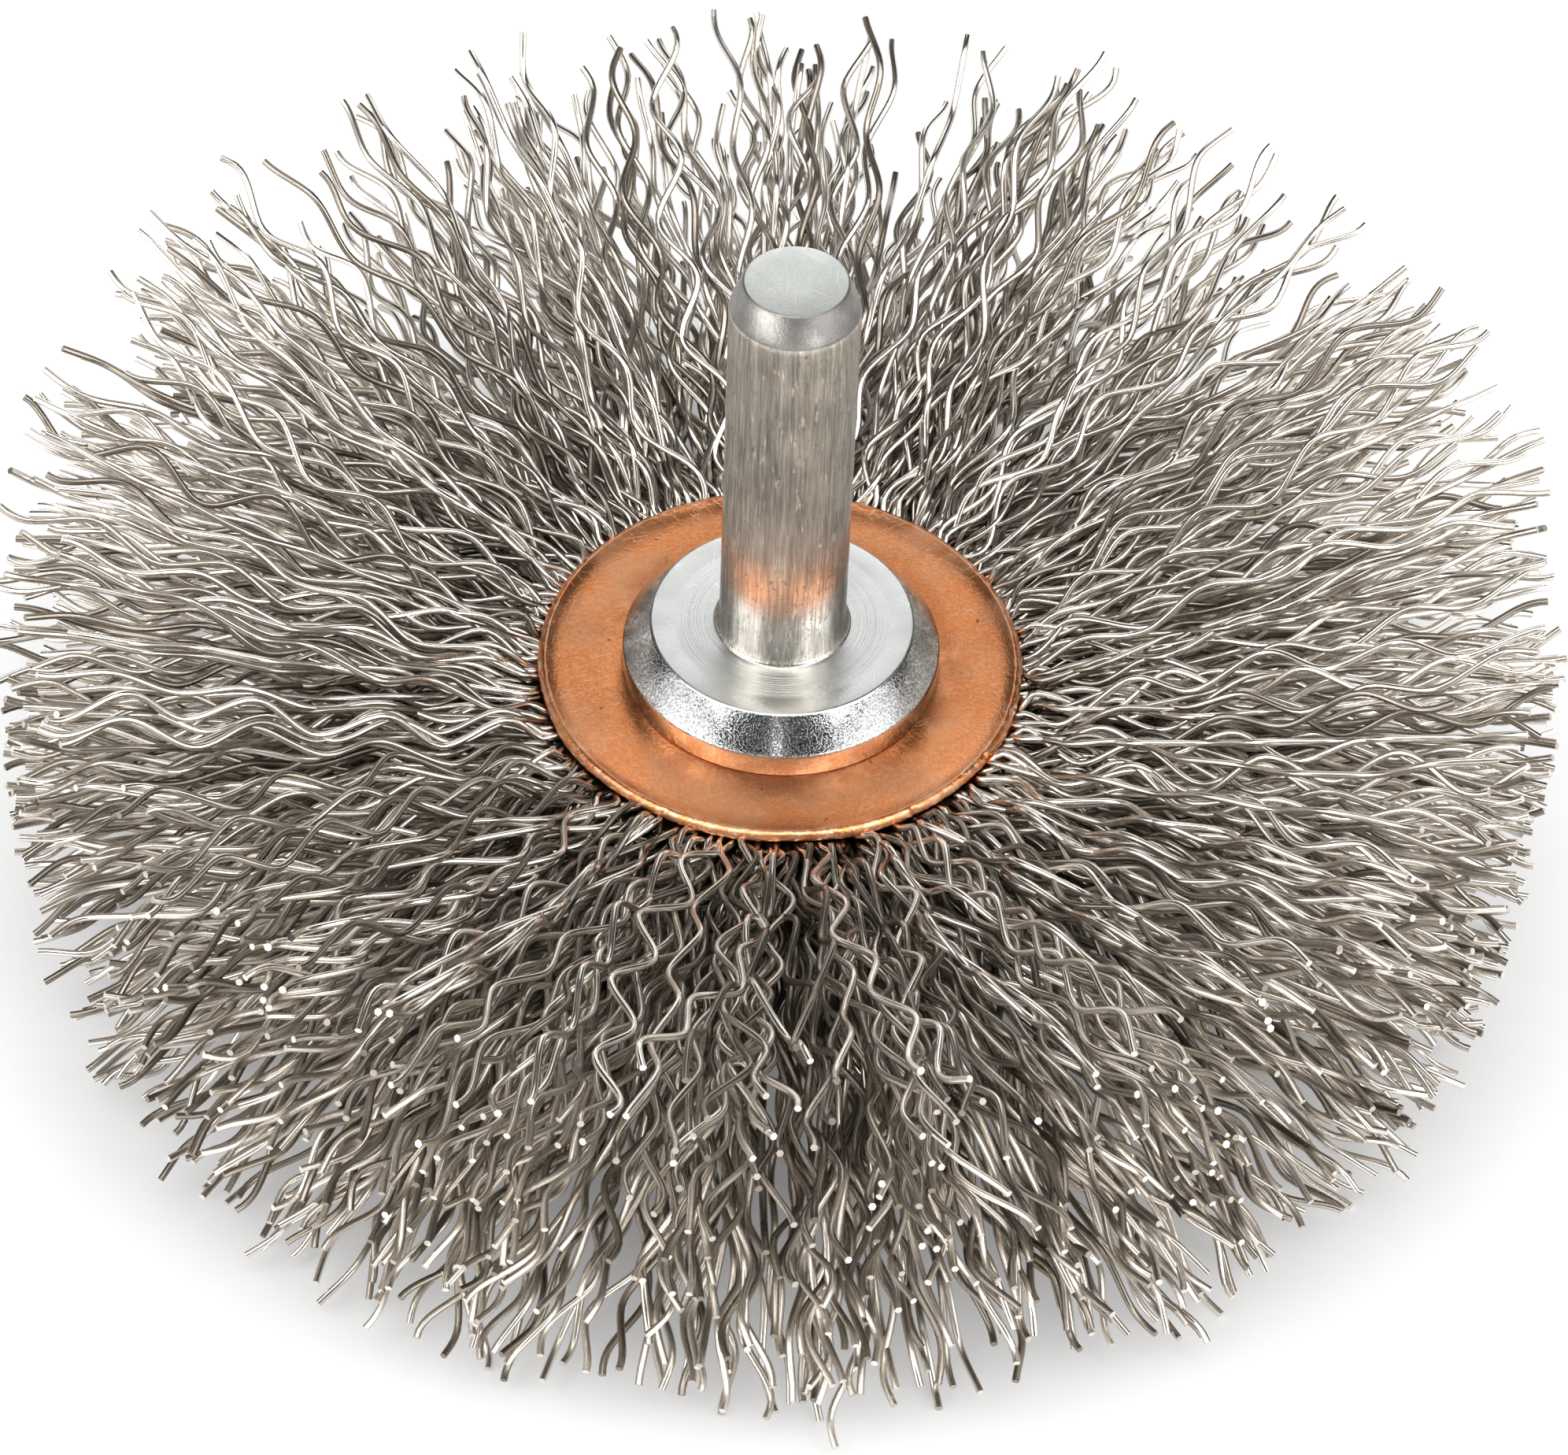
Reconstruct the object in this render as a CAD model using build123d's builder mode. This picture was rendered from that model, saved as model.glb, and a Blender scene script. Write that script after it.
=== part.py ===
"""Wheel brush of crimped steel wire, riveted between two cover discs on a drill shank.

Millimetres. +Z runs along the shank. The origin is on the axis, in the plane that the lowest
wire tips stand on. Each sub-part is written to parts/ under its own name.
"""

import math
import os

from build123d import *

# ---------------------------------------------------------------- driving dimensions

# Spindle
shank_dia = 6.0
shank_length = 21.4  # from the collar's top face to the shank's end
shank_end_dia = 4.8
shank_end_chamfer = 1.5  # along the axis
shank_root_fillet = 0.5
collar_top_dia = 12.5
collar_dia = 15.1
collar_bevel_height = 1.55
collar_height = 2.8
spigot_dia = 5.0
rivet_head_dia = 8.6
rivet_head_height = 1.5
rivet_head_chamfer = 0.9

# Cover discs
disc_dia = 23.2
disc_thickness = 0.5
rim_width = 1.6  # the raised ring at the disc's edge
rim_angle = 11.5
rim_edge_fillet = 0.18
rim_bend_fillet = 1.2

# Pieces inside and behind the discs
bush_dia = 9.0
core_ring_dia = 12.8  # across the centre line of its wire
core_wire_dia = 0.9
washer_dia = 13.0
washer_thickness = 1.2
washer_chamfer = 0.3

# Wires
wire_dia = 0.3
wire_layers = 5
layer_pitch = 0.2325
tuft_count = 24
rows_per_tuft = 3
fan_angle = 22.8  # of the outermost layer, above and below the wheel's mid-plane
splay_radius = 6.0
crimp_lead = 0.6  # straight run between the splay and the first crimp
crimp_pitch = 6.3
crimp_height = 1.3
wire_reach = 25.0  # from the disc's rim to the tips

# Clearances
wire_clearance = 0.02
spigot_clearance = 0.05

# ---------------------------------------------------------------- worked out from them

wire_r = wire_dia / 2
disc_r = disc_dia / 2
bend_r = disc_r - rim_width
ring_r = core_ring_dia / 2
first_loop_r = core_wire_dia / 2 + wire_clearance + wire_r
last_loop_r = first_loop_r + (wire_layers - 1) * layer_pitch
half_gap = last_loop_r + wire_r + wire_clearance
bore_r = spigot_dia / 2 + spigot_clearance
rim_rise = rim_width * math.tan(math.radians(rim_angle))


def splay(angle):
    """How far out and up a wire comes while it bends from level to an angle, in degrees."""
    turn = math.radians(angle)
    return Vector(splay_radius * math.sin(turn), splay_radius * (1 - math.cos(turn)))


crimp_start_r = bend_r + splay(fan_angle).X + crimp_lead
rim_to_bend_end = splay(fan_angle).X - rim_width
lowest_tip_run = wire_reach - rim_to_bend_end / math.cos(math.radians(fan_angle))
wheel_mid = (
    last_loop_r
    + splay(fan_angle).Y
    + lowest_tip_run * math.sin(math.radians(fan_angle))
    + wire_r * math.cos(math.radians(fan_angle))
)
disc_top = half_gap + disc_thickness
collar_top = disc_top + collar_height

# Half-section through the axis: local x is the radius, local y the height above the mid-plane.
section = Plane(origin=(0, 0, wheel_mid), x_dir=(1, 0, 0), z_dir=(0, -1, 0))

os.makedirs("parts", exist_ok=True)


def save(piece, label):
    """Name a finished piece and write it to its own STEP file."""
    piece.label = label
    export_step(piece, f"parts/{label}.step")


# ---------------------------------------------------------------- spindle

washer_back = -disc_top - washer_thickness
head_back = washer_back - rivet_head_height

with BuildPart() as spindle:
    with BuildSketch(section):
        with BuildLine():
            shank_end = collar_top + shank_length
            Polyline(
                (0, head_back),
                (0, shank_end),
                (shank_end_dia / 2, shank_end),
                (shank_dia / 2, shank_end - shank_end_chamfer),
                (shank_dia / 2, collar_top),
                (collar_top_dia / 2, collar_top),
                (collar_dia / 2, collar_top - collar_bevel_height),
                (collar_dia / 2, disc_top),
                (spigot_dia / 2, disc_top),
                (spigot_dia / 2, washer_back),
                (rivet_head_dia / 2, washer_back),
                (rivet_head_dia / 2, head_back),
                close=True,
            )
        make_face()
    revolve(axis=Axis.Z)
    chamfer(spindle.edges().sort_by(Axis.Z)[0], rivet_head_chamfer)
    shank_foot = spindle.edges().filter_by(GeomType.CIRCLE).filter_by_position(
        Axis.Z, wheel_mid + collar_top, wheel_mid + collar_top
    )
    fillet(shank_foot.sort_by(SortBy.RADIUS)[0], shank_root_fillet)
save(spindle.part, "spindle")

# ---------------------------------------------------------------- cover discs

with BuildPart() as front_cover_disc:
    with BuildSketch(section) as profile:
        with BuildLine():
            Polyline(
                (bore_r, half_gap),
                (bend_r, half_gap),
                (disc_r, half_gap + rim_rise),
                (disc_r - disc_thickness * math.sin(math.radians(rim_angle)), disc_top + rim_rise),
                (bend_r, disc_top),
                (bore_r, disc_top),
                close=True,
            )
        make_face()
        fillet(profile.vertices().sort_by(Axis.Z)[-1], rim_edge_fillet)
        fillet(profile.vertices().filter_by_position(Axis.X, bend_r, bend_r), rim_bend_fillet)
    revolve(axis=Axis.Z)
save(front_cover_disc.part, "front_cover_disc")

with BuildPart() as back_cover_disc:
    add(front_cover_disc.part.mirror(Plane.XY.offset(wheel_mid)))
save(back_cover_disc.part, "back_cover_disc")

# ---------------------------------------------------------------- pieces inside and behind the discs

with BuildPart() as hub_bush:
    with BuildSketch(Plane.XY.offset(wheel_mid - half_gap)):
        Circle(bush_dia / 2)
        Circle(bore_r, mode=Mode.SUBTRACT)
    extrude(amount=2 * half_gap)
save(hub_bush.part, "hub_bush")

with BuildPart() as core_ring:
    with BuildSketch(section):
        with Locations((ring_r, 0)):
            Circle(core_wire_dia / 2)
    revolve(axis=Axis.Z)
save(core_ring.part, "core_ring")

with BuildPart() as rivet_washer:
    with BuildSketch(Plane.XY.offset(wheel_mid + washer_back)):
        Circle(washer_dia / 2)
        Circle(bore_r, mode=Mode.SUBTRACT)
    extrude(amount=washer_thickness)
    chamfer(rivet_washer.faces().sort_by(Axis.Z)[0].outer_wire().edges(), washer_chamfer)
save(rivet_washer.part, "rivet_washer")

# ---------------------------------------------------------------- wires


def hairpin(layer):
    """One wire: folded over the core ring, led out between the discs, splayed and crimped."""
    loop_r = first_loop_r + layer * layer_pitch
    angle = fan_angle * (layer + 0.5) / (wire_layers - 0.5)
    out = Vector(math.cos(math.radians(angle)), math.sin(math.radians(angle)))
    bend_end = Vector(bend_r, loop_r) + splay(angle)
    aside = Vector(0, 0, crimp_height / 2)
    crimp_from = bend_end + out * ((crimp_start_r - bend_end.X) / out.X)
    run = wire_reach - (crimp_start_r - disc_r) / out.X
    waves = round(2 * run / crimp_pitch - 0.5)
    half_wave = run / (waves + 0.5)
    with BuildPart() as wire:
        with BuildLine(section) as path:
            loop = CenterArc((ring_r, 0), loop_r, 180, -90)
            level = Line(loop @ 1, (bend_r, loop_r))
            bend = TangentArc(level @ 1, tuple(bend_end), tangent=level % 1)
            arc = Line(bend @ 1, tuple(crimp_from))
            for wave in range(waves + 1):
                far = crimp_from + out * half_wave * (wave + 0.5) + aside
                arc = TangentArc(arc @ 1, tuple(far), tangent=arc % 1)
            mirror(about=Plane.XY.offset(wheel_mid))
        route = path.wires()[0]
        with BuildSketch(Plane(origin=route @ 0, z_dir=route % 0)):
            Circle(wire_r)
        sweep(path=path.line)
    return wire.part


hairpins = [hairpin(layer) for layer in range(wire_layers)]
row_angle = 360 / (tuft_count * rows_per_tuft)
for tuft in range(tuft_count):
    # Every second layer sits half a row further round, so the wires nest between the discs.
    wires = [
        wire.rotate(Axis.Z, row_angle * (tuft * rows_per_tuft + row + layer % 2 / 2))
        for layer, wire in enumerate(hairpins)
        for row in range(rows_per_tuft)
    ]
    save(Compound(wires), f"wire_tuft_{tuft + 1:02d}")
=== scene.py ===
"""Looks of a crimped-wire wheel brush on a drill shank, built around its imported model.

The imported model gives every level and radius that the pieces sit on. The turned and pressed
pieces are lathed again with their small edge radii and dents, and each tuft of the wheel gets
its full count of crimped wires. Lengths in the classes are millimetres, and angles degrees.
"""

from __future__ import annotations

import logging
import math
from dataclasses import dataclass, field
from enum import Enum
from itertools import pairwise
from typing import Sequence

import bpy
import numpy as np
from mathutils import Matrix, Vector

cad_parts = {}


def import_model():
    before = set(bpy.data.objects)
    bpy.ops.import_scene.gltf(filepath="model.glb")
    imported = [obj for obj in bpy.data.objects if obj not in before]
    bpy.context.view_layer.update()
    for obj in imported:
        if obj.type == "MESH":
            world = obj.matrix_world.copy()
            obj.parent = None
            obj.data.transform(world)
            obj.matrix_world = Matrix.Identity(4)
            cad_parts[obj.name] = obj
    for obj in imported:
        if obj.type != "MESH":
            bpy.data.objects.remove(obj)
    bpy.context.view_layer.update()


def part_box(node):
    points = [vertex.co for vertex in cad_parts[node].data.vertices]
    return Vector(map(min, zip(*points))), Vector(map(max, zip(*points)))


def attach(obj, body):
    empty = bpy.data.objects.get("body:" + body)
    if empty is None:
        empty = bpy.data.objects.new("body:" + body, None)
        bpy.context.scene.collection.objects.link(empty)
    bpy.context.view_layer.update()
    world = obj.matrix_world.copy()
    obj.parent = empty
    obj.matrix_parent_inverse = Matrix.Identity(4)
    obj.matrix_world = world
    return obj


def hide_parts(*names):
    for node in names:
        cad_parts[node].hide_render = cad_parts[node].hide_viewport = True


log = logging.getLogger("wheel_brush")

MM = 0.001
PHOTO_WIDTH_PX = 1992
SENSOR_WIDTH = 36.0
BODY = "root"
BEVEL_SEGMENTS = 3
SMOOTH_BELOW = math.radians(40)
WIRE_SMOOTH_BELOW = math.radians(65)
MERGE_BELOW = 0.0005 * MM
SIDE_CORNERS = 4

Point = tuple[float, float]
Colour = tuple[float, float, float]
Piece = bpy.types.Object
Socket = bpy.types.NodeSocket


class Slot(Enum):
    """Material slots of the record."""

    TURNED_STEEL = "turned_steel"
    COPPERED_STEEL = "coppered_steel"
    PLAIN_STEEL = "plain_steel"
    CRIMPED_WIRE = "crimped_wire"


class Zone(Enum):
    """Zones of the spindle, numbered as its materials are."""

    SHANK = 0
    FLAT = 1
    BEVEL = 2
    WALL = 3
    INSIDE = 4
    END = 5
    CHAMFER = 6


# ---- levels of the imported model


@dataclass(frozen=True)
class Levels:
    """Heights above the floor and radii that every piece is placed by."""

    head_back: float
    washer_back: float
    washer_r: float
    back_disc_inner: float
    front_disc_inner: float
    rim_top: float
    disc_r: float
    mid: float
    shank_top: float
    collar_r: float
    shank_length: float = 21.4
    disc_thickness: float = 0.5

    @classmethod
    def from_frame(cls) -> Levels:
        """Read the levels from the boxes of the CAD nodes.

        Returns:
            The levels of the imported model.
        """
        spindle_low, spindle_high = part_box("spindle")
        washer_low, washer_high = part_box("rivet_washer")
        front_low, front_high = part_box("front_cover_disc")
        _, back_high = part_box("back_cover_disc")
        return cls(
            head_back=spindle_low.z / MM,
            washer_back=washer_low.z / MM,
            washer_r=washer_high.x / MM,
            back_disc_inner=back_high.z / MM,
            front_disc_inner=front_low.z / MM,
            rim_top=front_high.z / MM,
            disc_r=front_high.x / MM,
            mid=(front_low.z + back_high.z) / 2 / MM,
            shank_top=spindle_high.z / MM,
            collar_r=spindle_high.x / MM,
        )

    @property
    def collar_top(self) -> float:
        """Height of the collar's flat face."""
        return self.shank_top - self.shank_length

    @property
    def disc_top(self) -> float:
        """Height of the front disc's flat face."""
        return self.front_disc_inner + self.disc_thickness

    @property
    def rim_rise(self) -> float:
        """How far the rim stands above the disc's flat face."""
        return self.rim_top - self.disc_top


# ---- mesh tools


def deselect_all() -> None:
    """Leave edit mode and deselect every object."""
    if bpy.context.object and bpy.context.object.mode != "OBJECT":
        bpy.ops.object.mode_set(mode="OBJECT")
    bpy.ops.object.select_all(action="DESELECT")


def select_only(piece: Piece) -> None:
    """Make one object the selected and active one.

    Args:
        piece: The object.
    """
    deselect_all()
    piece.select_set(True)
    bpy.context.view_layer.objects.active = piece


def arc(centre: Point, radius: float, end: float, steps: int) -> list[Point]:
    """Points of an arc in the half-section, from the radius axis up to an angle in radians."""
    angles = [end * n / steps for n in range(steps + 1)]
    return [(centre[0] + radius * math.cos(a), centre[1] + radius * math.sin(a)) for a in angles]


def lathe(name: str, profile: Sequence[Point], steps: int) -> Piece:
    """Spin a half-section about the Z axis into a closed piece.

    Args:
        name: Name of the piece.
        profile: Points as radius and height. A ring's last point is its first.
        steps: Segments round the axis.

    Returns:
        The new mesh object, at the origin.
    """
    deselect_all()
    start = Vector((profile[0][0] * MM, 0, profile[0][1] * MM))
    bpy.ops.mesh.primitive_plane_add(size=MM, location=start)
    piece = bpy.context.active_object
    piece.name = piece.data.name = name
    bpy.ops.object.mode_set(mode="EDIT")
    bpy.ops.mesh.select_all(action="SELECT")
    bpy.ops.mesh.merge(type="CENTER")
    for (r0, z0), (r1, z1) in pairwise(profile):
        step = ((r1 - r0) * MM, 0, (z1 - z0) * MM)
        bpy.ops.mesh.extrude_region_move(TRANSFORM_OT_translate={"value": step})
    bpy.ops.mesh.select_all(action="SELECT")
    bpy.ops.mesh.spin(steps=steps, angle=math.tau, center=(0, 0, 0), axis=(0, 0, 1))
    bpy.ops.mesh.select_all(action="SELECT")
    bpy.ops.mesh.remove_doubles(threshold=MERGE_BELOW)
    bpy.ops.mesh.normals_make_consistent(inside=False)
    bpy.ops.object.mode_set(mode="OBJECT")
    bpy.ops.object.transform_apply(location=True, rotation=True, scale=True)
    return piece


def round_edges(piece: Piece, width: float, angle: float = 15.0) -> None:
    """Bevel a piece's edges, apply the bevel and shade the result smooth.

    Args:
        piece: The mesh object.
        width: Width of the bevel.
        angle: Edges sharper than this are bevelled.
    """
    select_only(piece)
    bevel = piece.modifiers.new("edges", "BEVEL")
    bevel.width = width * MM
    bevel.segments = BEVEL_SEGMENTS
    bevel.limit_method = "ANGLE"
    bevel.angle_limit = math.radians(angle)
    bpy.ops.object.modifier_apply(modifier=bevel.name)
    bpy.ops.object.shade_smooth_by_angle(angle=SMOOTH_BELOW)
    flats = piece.modifiers.new("flats", "WEIGHTED_NORMAL")
    flats.keep_sharp = True
    bpy.ops.object.modifier_apply(modifier=flats.name)


def vertex_array(piece: Piece) -> np.ndarray:
    """Copy a mesh's vertices into an array.

    Args:
        piece: The mesh object.

    Returns:
        The coordinates in metres, one row for each vertex.
    """
    co = np.empty(len(piece.data.vertices) * 3)
    piece.data.vertices.foreach_get("co", co)
    return co.reshape(-1, 3)


def set_vertices(piece: Piece, co: np.ndarray) -> None:
    """Write an array of coordinates in metres into a mesh."""
    piece.data.vertices.foreach_set("co", co.ravel())
    piece.data.update()


def hand_over(piece: Piece, node: str) -> None:
    """Let a finished piece stand for a CAD node.

    Args:
        piece: The piece.
        node: The node that it replaces.
    """
    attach(piece, BODY)
    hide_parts(node)
    log.info("%s: %d faces", piece.name, len(piece.data.polygons))


# ---- shader tools


class Sheet:
    """Short ways to add and join the nodes of one node tree."""

    def __init__(self, tree: bpy.types.NodeTree) -> None:
        """Keep the tree that is filled."""
        self.tree = tree

    def add(self, kind: str, inputs: dict | None = None, **settings: object) -> bpy.types.Node:
        """Add a node, set its properties and fill its inputs.

        Args:
            kind: Blender's name of the node's class.
            inputs: Values or outputs for the inputs, by name or number.
            **settings: Properties of the node.

        Returns:
            The node.
        """
        node = self.tree.nodes.new(kind)
        for key, value in settings.items():
            setattr(node, key, value)
        for key, value in (inputs or {}).items():
            self.feed(node.inputs[key], value)
        return node

    def feed(self, socket: Socket, value: object) -> None:
        """Set an input to a number or colour, or link it to an output.

        Args:
            socket: The input.
            value: A number, a colour or an output.
        """
        if isinstance(value, Socket):
            self.tree.links.new(value, socket)
        else:
            socket.default_value = value

    def math(self, operation: str, *values: object) -> Socket:
        """Add a Math node on numbers or outputs."""
        return self.add("ShaderNodeMath", dict(enumerate(values)), operation=operation).outputs[0]

    def part(self, mask: Socket, share: float | Socket) -> Socket:
        """Weaken a mask to a share of itself."""
        return self.math("MULTIPLY", mask, share)

    def span(self, value: Socket, low: float | Socket, high: float | Socket) -> Socket:
        """Map a value from low to high smoothly onto 0 to 1."""
        ends = {"Value": value, "From Min": low, "From Max": high}
        return self.add("ShaderNodeMapRange", ends, interpolation_type="SMOOTHSTEP").outputs[0]

    def ramp(self, value: Socket, low: float, high: float) -> Socket:
        """Map a value from 0 and 1 straight onto two numbers."""
        ends = {"Value": value, "To Min": low, "To Max": high}
        return self.add("ShaderNodeMapRange", ends).outputs[0]

    def mix(self, share: Socket, a: Colour | Socket, b: Colour | Socket) -> Socket:
        """Mix two colours.

        Args:
            share: Share of the second colour.
            a: First colour.
            b: Second colour.

        Returns:
            The mixed colour's output.
        """
        a, b = ((*colour, 1.0) if isinstance(colour, tuple) else colour for colour in (a, b))
        node = self.add("ShaderNodeMix", {"Factor": share, 6: a, 7: b}, data_type="RGBA")
        return node.outputs[2]


class Effect(Sheet):
    """A shader node group that turns coordinates into a mask, shared by several finishes."""

    def __init__(self, name: str, outputs: Sequence[str] = ("Mask",), **numbers: float) -> None:
        """Start the group with its inputs and outputs.

        Args:
            name: Name of the group.
            outputs: Names of the outputs, all numbers.
            **numbers: The number inputs and their defaults.
        """
        super().__init__(bpy.data.node_groups.new(name, "ShaderNodeTree"))
        new_socket = self.tree.interface.new_socket
        new_socket("Vector", in_out="INPUT", socket_type="NodeSocketVector")
        for key, number in numbers.items():
            socket = new_socket(key, in_out="INPUT", socket_type="NodeSocketFloat")
            socket.default_value = number
        for key in outputs:
            new_socket(key, in_out="OUTPUT", socket_type="NodeSocketFloat")
        self.given = self.add("NodeGroupInput").outputs
        self.out = self.add("NodeGroupOutput").inputs

    def noise(self, dimensions: str = "3D", **inputs: object) -> Socket:
        """Add a noise that goes from 0 to 1 between the group's Low and High."""
        noise = self.add("ShaderNodeTexNoise", inputs, noise_dimensions=dimensions)
        return self.span(noise.outputs["Fac"], self.given["Low"], self.given["High"])


class Streaks(Effect):
    """Fine lines that run along Z, as on a drawn bar."""

    def __init__(self) -> None:
        """Build the group."""
        super().__init__("streaks", Across=2500.0, Along=60.0, Low=0.35, High=0.65)
        across, along = self.given["Across"], self.given["Along"]
        scale = self.add("ShaderNodeCombineXYZ", {0: across, 1: across, 2: along}).outputs[0]
        factors = {0: self.given["Vector"], 1: scale}
        stretched = self.add("ShaderNodeVectorMath", factors, operation="MULTIPLY").outputs[0]
        mask = self.noise(Vector=stretched, Scale=1.0, Detail=5.0, Roughness=0.6)
        self.feed(self.out["Mask"], mask)


class Rings(Effect):
    """Fine rings round the Z axis, as a turning tool leaves them, and the radius itself."""

    def __init__(self) -> None:
        """Build the group."""
        super().__init__("rings", ("Mask", "Radius"), Scale=8000.0, Low=0.35, High=0.65)
        parts = self.add("ShaderNodeSeparateXYZ", {0: self.given["Vector"]}).outputs
        squares = [self.math("MULTIPLY", parts[n], parts[n]) for n in (0, 1)]
        radius = self.math("SQRT", self.math("ADD", *squares))
        mask = self.noise("1D", W=radius, Scale=self.given["Scale"], Detail=3.0)
        self.feed(self.out["Mask"], mask)
        self.feed(self.out["Radius"], radius)


class Patches(Effect):
    """Soft or sharp patches, for mottle, stains and specks."""

    def __init__(self) -> None:
        """Build the group."""
        super().__init__("patches", Scale=500.0, Detail=4.0, Low=0.4, High=0.6)
        inputs = {key: self.given[key] for key in ("Vector", "Scale", "Detail")}
        self.feed(self.out["Mask"], self.noise(**inputs))


class Scratches(Effect):
    """Thin short scratches that lie in three directions."""

    TURNS = (0.4, 1.5, 2.5)
    LENGTH = 18.0

    def __init__(self) -> None:
        """Build the group."""
        super().__init__("scratches", Scale=250.0, Low=0.66, High=0.74)
        masks = []
        for turn in self.TURNS:
            frame = {
                "Vector": self.given["Vector"],
                "Rotation": (0, 0, turn),
                "Scale": (1.0, 1 / self.LENGTH, 1.0),
            }
            turned = self.add("ShaderNodeMapping", frame, vector_type="TEXTURE").outputs[0]
            masks.append(self.noise(Vector=turned, Scale=self.given["Scale"], Detail=2.0))
        both = self.math("MAXIMUM", masks[0], masks[1])
        self.feed(self.out["Mask"], self.math("MAXIMUM", both, masks[2]))


class Effects:
    """Every shared node group, built once."""

    def __init__(self) -> None:
        """Build the groups."""
        self.streaks, self.rings = Streaks(), Rings()
        self.patches, self.scratches = Patches(), Scratches()


class Coat(Sheet):
    """The nodes of one material: patterns on Object coordinates before a Principled shader."""

    def __init__(self, name: str) -> None:
        """Start the material.

        Args:
            name: Name of the material.
        """
        self.material = bpy.data.materials.new(name)
        self.material.use_nodes = True
        super().__init__(self.material.node_tree)
        self.shader = self.tree.nodes["Principled BSDF"].inputs
        self.place = self.add("ShaderNodeTexCoord").outputs["Object"]

    def effect(self, effect: Effect, output: str = "Mask", **numbers: float) -> Socket:
        """Place a shared node group, with numbers where its defaults don't fit."""
        inputs = {"Vector": self.place, **numbers}
        return self.add("ShaderNodeGroup", inputs, node_tree=effect.tree).outputs[output]

    def dress(self, colour: Socket, roughness: Socket, metallic: float = 1.0) -> None:
        """Give the shader its colour and gloss.

        Args:
            colour: The colour's output.
            roughness: The roughness's output.
            metallic: Share of metal.
        """
        self.feed(self.shader["Base Color"], colour)
        self.feed(self.shader["Roughness"], roughness)
        self.feed(self.shader["Metallic"], metallic)

    def bump(self, height: Socket, depth: float) -> None:
        """Give the shader a bump of a depth where the height goes from 0 to 1."""
        node = self.add("ShaderNodeBump", {"Distance": depth * MM, "Height": height})
        self.feed(self.shader["Normal"], node.outputs[0])


def brighter(colour: Colour, gain: float) -> Colour:
    """Brighten a colour by a factor, up to white."""
    return tuple(min(1.0, c * gain) for c in colour)


# ---- finishes


@dataclass(frozen=True)
class DrawnBar:
    """Cold-drawn bar: fine streaks along the shank, clouds, dark pits and bright flecks."""

    dark: Colour = (0.22, 0.202, 0.178)
    light: Colour = (0.70, 0.655, 0.585)
    pit: Colour = (0.24, 0.225, 0.205)
    fine_share: float = 0.5
    broad_share: float = 0.3
    cloud_share: float = 0.25
    pit_share: float = 0.7
    fleck_share: float = 0.6
    fleck_gain: float = 1.3
    roughness: tuple[float, float] = (0.17, 0.27)
    metallic: float = 0.8
    depth: float = 0.004

    def build(self, fx: Effects) -> bpy.types.Material:
        """Build the material.

        Args:
            fx: The shared node groups.

        Returns:
            The material.
        """
        coat = Coat("drawn_bar")
        fine = coat.effect(fx.streaks, Across=8200.0, Along=420.0)
        broad = coat.effect(fx.streaks, Across=2600.0, Along=130.0, Low=0.3, High=0.7)
        cloud = coat.effect(fx.patches, Scale=420.0, Low=0.35, High=0.65)
        pits = coat.effect(fx.patches, Scale=4600.0, Low=0.60, High=0.67)
        flecks = coat.effect(fx.streaks, Across=4200.0, Along=900.0, Low=0.60, High=0.68)
        lines = coat.part(fine, self.fine_share)
        lines = coat.math("ADD", lines, coat.part(broad, self.broad_share))
        tone = coat.math("ADD", lines, coat.part(cloud, self.cloud_share))
        colour = coat.mix(tone, self.dark, self.light)
        colour = coat.mix(coat.part(pits, self.pit_share), colour, self.pit)
        bright = brighter(self.light, self.fleck_gain)
        colour = coat.mix(coat.part(flecks, self.fleck_share), colour, bright)
        low, high = self.roughness
        coat.dress(colour, coat.ramp(tone, high, low), self.metallic)
        coat.bump(coat.math("SUBTRACT", coat.math("ADD", lines, flecks), pits), self.depth)
        return coat.material


@dataclass(frozen=True)
class TurnedFace:
    """A face from the lathe: rings of the tool, grain, scratches and cloudy stains."""

    name: str
    base: Colour
    stain: Colour
    roughness: float
    ring_scale: float = 5200.0
    ring_depth: float = 0.002
    ring_reach: float = 100.0
    ring_fade: tuple[float, float] = (0.1, 0.9)
    grain_scale: float = 7000.0
    grain_depth: float = 0.004
    grain_share: float = 0.25
    cloud_scale: float = 450.0
    cloud_share: float = 0.3
    cloud_roughness: float = 0.08
    scratch_scale: float = 420.0
    scratch_share: float = 0.4
    scratch_gain: float = 1.25

    def build(self, fx: Effects) -> bpy.types.Material:
        """Build the material.

        Args:
            fx: The shared node groups.

        Returns:
            The material.
        """
        coat = Coat(self.name)
        outside, inside = self.ring_fade
        ends = (self.ring_reach + outside) * MM, (self.ring_reach - inside) * MM
        near = coat.span(coat.effect(fx.rings, "Radius"), *ends)
        turned = coat.part(coat.effect(fx.rings, Scale=self.ring_scale), near)
        cloud = coat.effect(fx.patches, Scale=self.cloud_scale, Low=0.38, High=0.64)
        grain = coat.effect(fx.patches, Scale=self.grain_scale, Detail=2.0, Low=0.40, High=0.62)
        marks = coat.part(coat.effect(fx.scratches, Scale=self.scratch_scale), self.scratch_share)
        colour = coat.mix(coat.part(cloud, self.cloud_share), self.base, self.stain)
        colour = coat.mix(coat.part(grain, self.grain_share), colour, self.stain)
        colour = coat.mix(marks, colour, brighter(self.base, self.scratch_gain))
        coat.dress(colour, coat.ramp(cloud, self.roughness, self.roughness + self.cloud_roughness))
        relief = coat.math("ADD", turned, coat.part(grain, self.grain_depth / self.ring_depth))
        coat.bump(coat.math("SUBTRACT", relief, marks), self.ring_depth)
        return coat.material


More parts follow.
